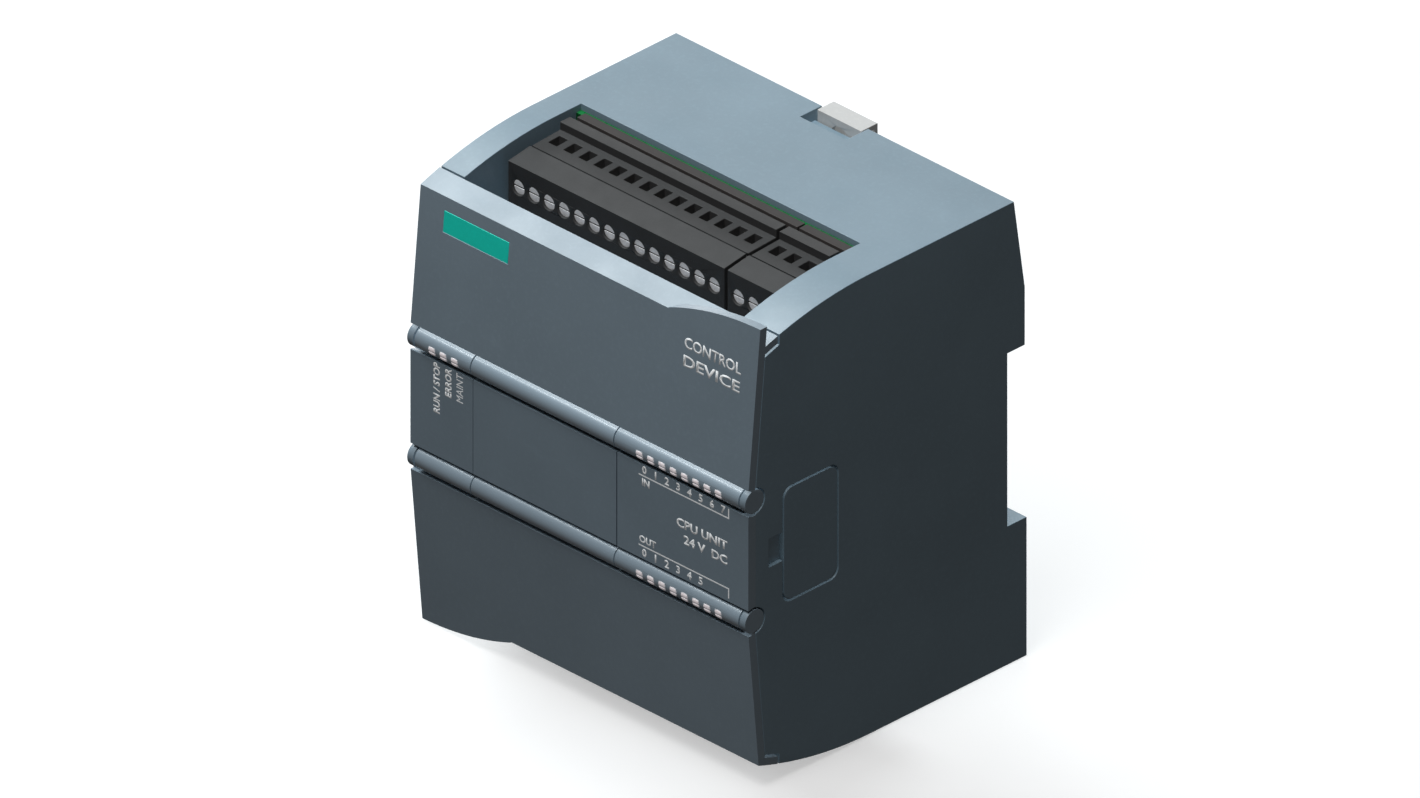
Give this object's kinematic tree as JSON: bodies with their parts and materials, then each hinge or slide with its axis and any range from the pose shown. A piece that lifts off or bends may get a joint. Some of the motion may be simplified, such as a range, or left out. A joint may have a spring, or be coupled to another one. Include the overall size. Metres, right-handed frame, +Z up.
{
  "type": "plc module",
  "caption": "Compact rail-mounted industrial controller with hinged terminal doors, pull-off terminal blocks, indicator light windows, bus covers and sliding rail clips.",
  "frame": {"origin": "bottom centre of the bounding box", "axes": "+X to the right seen from the front, -Y towards the front doors, +Y towards the mounting rail, +Z up"},
  "size_m": [0.09, 0.075, 0.1],
  "materials": {
    "housing_plastic": "fine grained moulding",
    "panel_plastic": "fine grained moulding",
    "door_plastic": "fine grained moulding",
    "label_ink": "printed plate",
    "clip_plastic": "smooth moulding",
    "terminal_plastic": "satin moulding",
    "header_plastic": "satin moulding",
    "light_pipe": "clear diffuse moulding",
    "screw_steel": "zinc plated",
    "clamp_metal": "nickel plated",
    "contact_gold": "gold plated",
    "board_green": "solder mask over glass laminate",
    "chip_black": "moulded package",
    "socket_black": "moulded",
    "socket_white": "moulded",
    "jack_steel": "tin plated sheet",
    "led_body": "chip lamps",
    "ferrite": "sintered",
    "winding_tape": "tape over the windings",
    "capacitor_sleeve": "shrink sleeve",
    "copper": "enamelled wire",
    "cell_steel": "pressed can"
  },
  "bodies": {
    "base": {"main_housing": "housing_plastic", "front_bezel": "panel_plastic", "signal_board_cover": "panel_plastic", "status_light_pipes": "light_pipe", "input_light_pipes": "light_pipe", "output_light_pipes": "light_pipe", "input_terminal_header": "header_plastic", "input_header_pins": "contact_gold", "analog_terminal_header": "header_plastic", "analog_header_pins": "contact_gold", "output_terminal_header": "header_plastic", "output_header_pins": "contact_gold", "io_board": "board_green", "cpu_board": "board_green", "power_board": "board_green", "network_jack_shell": "jack_steel", "network_jack_insert": "socket_black", "network_jack_contacts": "contact_gold", "memory_card_socket": "jack_steel", "signal_board_connector": "socket_black", "expansion_bus_socket": "socket_black", "comm_bus_socket": "socket_black", "board_link_headers": "socket_white", "board_link_sockets": "socket_black", "power_link_connector": "socket_white", "processor_chip": "chip_black", "memory_chips": "chip_black", "status_leds": "led_body", "backup_capacitor": "cell_steel", "transformer_core": "ferrite", "transformer_windings": "winding_tape", "filter_capacitors": "capacitor_sleeve", "power_inductor": "copper", "input_fuse": "socket_black", "output_drivers": "chip_black", "input_optocouplers": "chip_black"},
    "upper_door": {"upper_terminal_door": "door_plastic", "front_label": "label_ink"},
    "lower_door": {"lower_terminal_door": "door_plastic"},
    "upper_clip": {"upper_rail_clip": "clip_plastic"},
    "lower_clip": {"lower_rail_clip": "clip_plastic"},
    "right_bus_cover": {"expansion_bus_cover": "housing_plastic"},
    "left_bus_cover": {"comm_bus_cover": "housing_plastic"},
    "input_plug": {"input_terminal_block": "terminal_plastic", "input_terminal_screws": "screw_steel", "input_wire_clamps": "clamp_metal"},
    "analog_plug": {"analog_terminal_block": "terminal_plastic", "analog_terminal_screws": "screw_steel", "analog_wire_clamps": "clamp_metal"},
    "output_plug": {"output_terminal_block": "terminal_plastic", "output_terminal_screws": "screw_steel", "output_wire_clamps": "clamp_metal"}
  },
  "joints": [
    {"name": "upper_door_hinge", "type": "hinge", "parent": "base", "child": "upper_door", "pos_m": [0, -0.035, 0.063], "axis": [1, 0, 0], "range_deg": [0, 110]},
    {"name": "lower_door_hinge", "type": "hinge", "parent": "base", "child": "lower_door", "pos_m": [0, -0.035, 0.037], "axis": [1, 0, 0], "range_deg": [-110, 0]},
    {"name": "upper_clip_slide", "type": "slide", "parent": "base", "child": "upper_clip", "axis": [0, 0, 1], "range_m": [0, 0.008]},
    {"name": "lower_clip_slide", "type": "slide", "parent": "base", "child": "lower_clip", "axis": [0, 0, -1], "range_m": [0, 0.008]},
    {"name": "right_bus_cover_slide", "type": "slide", "parent": "base", "child": "right_bus_cover", "axis": [1, 0, 0], "range_m": [0, 0.006]},
    {"name": "left_bus_cover_slide", "type": "slide", "parent": "base", "child": "left_bus_cover", "axis": [-1, 0, 0], "range_m": [0, 0.006]},
    {"name": "input_plug_slide", "type": "slide", "parent": "base", "child": "input_plug", "axis": [0, -1, 0], "range_m": [0, 0.006]},
    {"name": "analog_plug_slide", "type": "slide", "parent": "base", "child": "analog_plug", "axis": [0, -1, 0], "range_m": [0, 0.006]},
    {"name": "output_plug_slide", "type": "slide", "parent": "base", "child": "output_plug", "axis": [0, -1, 0], "range_m": [0, 0.006]}
  ]
}
